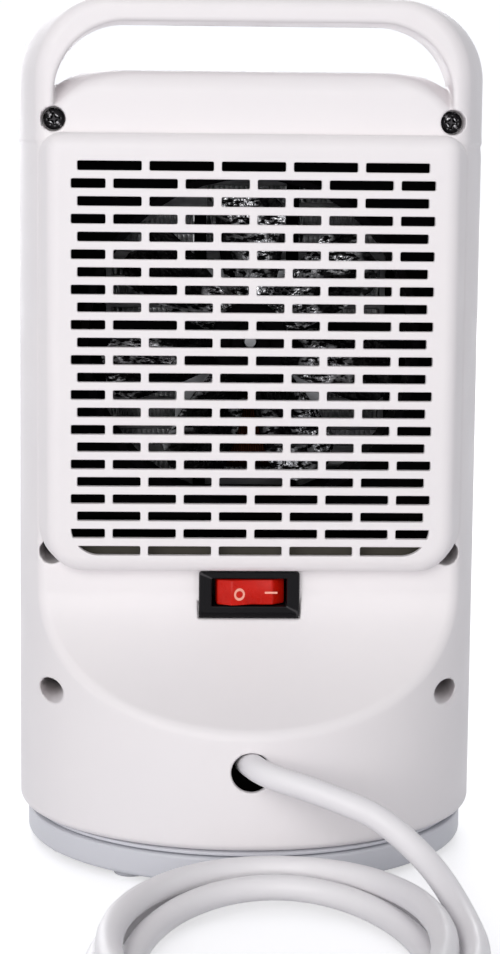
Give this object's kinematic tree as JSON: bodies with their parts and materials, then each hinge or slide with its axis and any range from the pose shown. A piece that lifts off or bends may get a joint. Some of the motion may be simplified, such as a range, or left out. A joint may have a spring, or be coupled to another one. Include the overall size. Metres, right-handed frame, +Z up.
{
  "type": "portable fan heater",
  "caption": "Free-standing white fan heater with a loop handle, slotted rear intake, red rocker switch and a round turning base, its mains cord coiled behind it.",
  "frame": {"origin": "centre of the base on the floor, on the turning axis of the housing", "axes": "+Z up, +Y towards the rear with the intake and the switch, +X to the left of someone who faces the rear"},
  "size_m": [0.1525, 0.3916, 0.264],
  "materials": {
    "shell": "satin gloss white ABS",
    "base": "pale cool grey moulding",
    "outlet": "dark grey heat-resistant moulding",
    "black": "black nylon, light gloss",
    "red": "clear red lens plastic",
    "board": "green solder-masked board",
    "blades": "bright stamped sheet",
    "steel": "zinc-plated sheet and laminations",
    "screw": "black zinc plating",
    "copper": "enamelled copper wire",
    "inner": "dark glass-filled moulding",
    "ceramic": "bare aluminium fins and cans",
    "rubber": "soft pale rubber",
    "cord": "white soft PVC sheath",
    "brass": "bare brass, nickel flash"
  },
  "bodies": {
    "base": {"base_shell": "base", "base_cover": "base", "drive_sector": "inner", "foot_1": "rubber", "foot_2": "rubber", "foot_3": "rubber", "foot_4": "rubber", "foot_5": "rubber", "foot_6": "rubber", "foot_7": "rubber", "foot_8": "rubber", "cord_lead": "cord", "cord_coil": "cord", "cord_tail": "cord", "plug_body": "cord", "plug_pin_left": "brass", "plug_pin_right": "brass"},
    "housing": {"rear_shell": "shell", "front_shell": "shell", "bottom_plate": "inner", "rear_cover": "shell", "switch_body": "black", "outlet_grille": "outlet", "control_panel": "black", "control_board": "board", "fan_shroud": "inner", "motor_core": "steel", "motor_winding": "copper", "motor_strap": "steel", "motor_back_plate": "steel", "heater_frame": "inner", "heating_block": "ceramic", "thermostat": "ceramic", "thermal_fuse": "ceramic", "swing_motor": "steel", "pivot_washer": "steel", "pivot_screw": "screw", "tip_switch": "black", "terminal_block": "inner", "power_board": "board", "cord_stub": "cord", "cord_clamp": "inner", "screw_top_left": "screw", "screw_top_right": "screw", "screw_middle_left": "screw", "screw_middle_right": "screw", "screw_low_left": "screw", "screw_low_right": "screw"},
    "fan": {"fan_blades": "blades", "motor_rotor": "steel"},
    "rocker": {"switch_rocker": "red"},
    "pinion": {"drive_pinion": "inner"},
    "power_button": {"button_power": "shell"},
    "heat_button": {"button_heat": "shell"},
    "swing_button": {"button_swing": "shell"}
  },
  "joints": [
    {"name": "swing", "type": "hinge", "parent": "base", "child": "housing", "pos_m": [0, 0, 0.012], "axis": [0, 0, 1], "range_deg": [-35, 35]},
    {"name": "fan_spin", "type": "hinge", "parent": "housing", "child": "fan", "pos_m": [0, 0.0135, 0.16], "axis": [0, 1, 0], "continuous": true},
    {"name": "rocker_tilt", "type": "hinge", "parent": "housing", "child": "rocker", "pos_m": [0, 0.0275, 0.0831], "axis": [0, 0, -1], "range_deg": [0, 16]},
    {"name": "pinion_spin", "type": "hinge", "parent": "housing", "child": "pinion", "pos_m": [0, -0.026, 0.009], "axis": [0, 0, 1], "range_deg": [-120, 120]},
    {"name": "power_press", "type": "slide", "parent": "housing", "child": "power_button", "axis": [0, 0, -1], "range_m": [0, 0.0008], "stiffness_N_per_m": 400, "springref_m": -0.0006},
    {"name": "heat_press", "type": "slide", "parent": "housing", "child": "heat_button", "axis": [0, 0, -1], "range_m": [0, 0.0008], "stiffness_N_per_m": 400, "springref_m": -0.0006},
    {"name": "swing_press", "type": "slide", "parent": "housing", "child": "swing_button", "axis": [0, 0, -1], "range_m": [0, 0.0008], "stiffness_N_per_m": 400, "springref_m": -0.0006}
  ],
  "couplings": [
    {"joint": "pinion_spin", "follows": "swing", "ratio": 3.3333}
  ]
}
